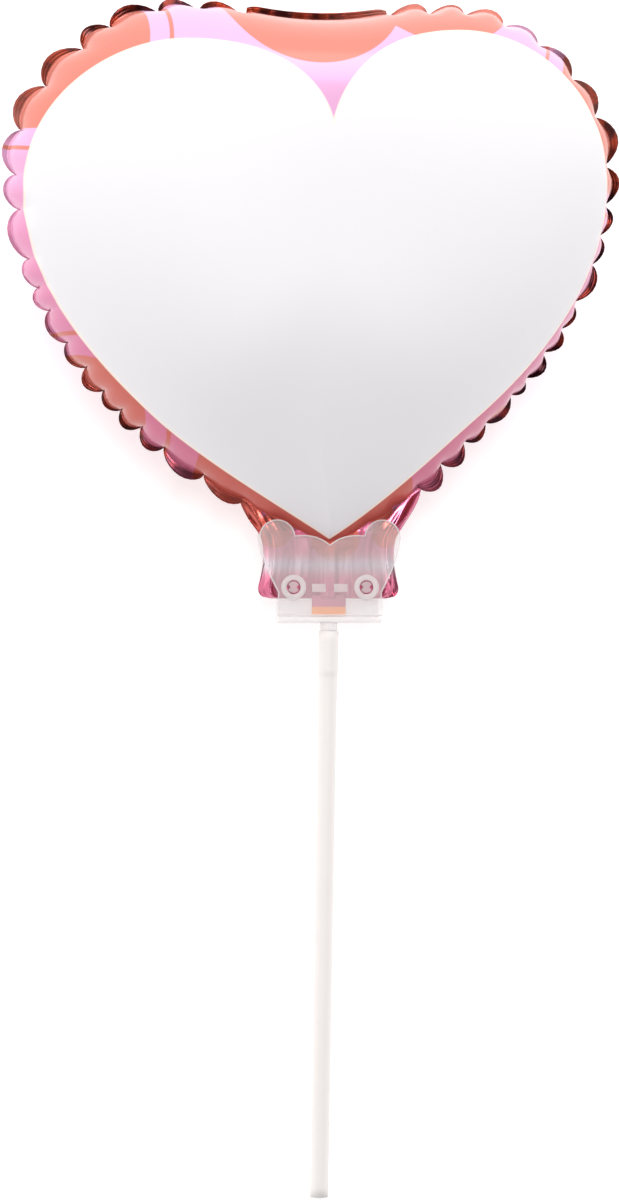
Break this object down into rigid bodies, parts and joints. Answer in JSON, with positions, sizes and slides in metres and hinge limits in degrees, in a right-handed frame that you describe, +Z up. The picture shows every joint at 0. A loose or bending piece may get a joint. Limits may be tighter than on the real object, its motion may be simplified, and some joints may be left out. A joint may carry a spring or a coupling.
{
  "type": "foil balloon",
  "caption": "Inflated heart-shaped foil balloon with a puckered welded rim, its tail held in a clear snap clip on a thin straw stick, lying on its back.",
  "frame": {"origin": "on the floor under the middle of the lying balloon's box", "axes": "+Z up, out of the balloon's front panel as it lies on its back; +Y along the stick to the top of the heart; +X across the heart"},
  "size_m": [0.1838, 0.349, 0.0807],
  "materials": {
    "printed_foil": "metallised plastic film, printed white inside a pink and salmon border",
    "clear_plastic": "clear moulded plastic, slightly frosted",
    "white_straw": "thin translucent white plastic"
  },
  "bodies": {
    "root": {"foil_balloon": "printed_foil", "clip_front_plate": "clear_plastic", "clip_back_plate": "clear_plastic", "straw_stick": "white_straw"}
  },
  "joints": []
}
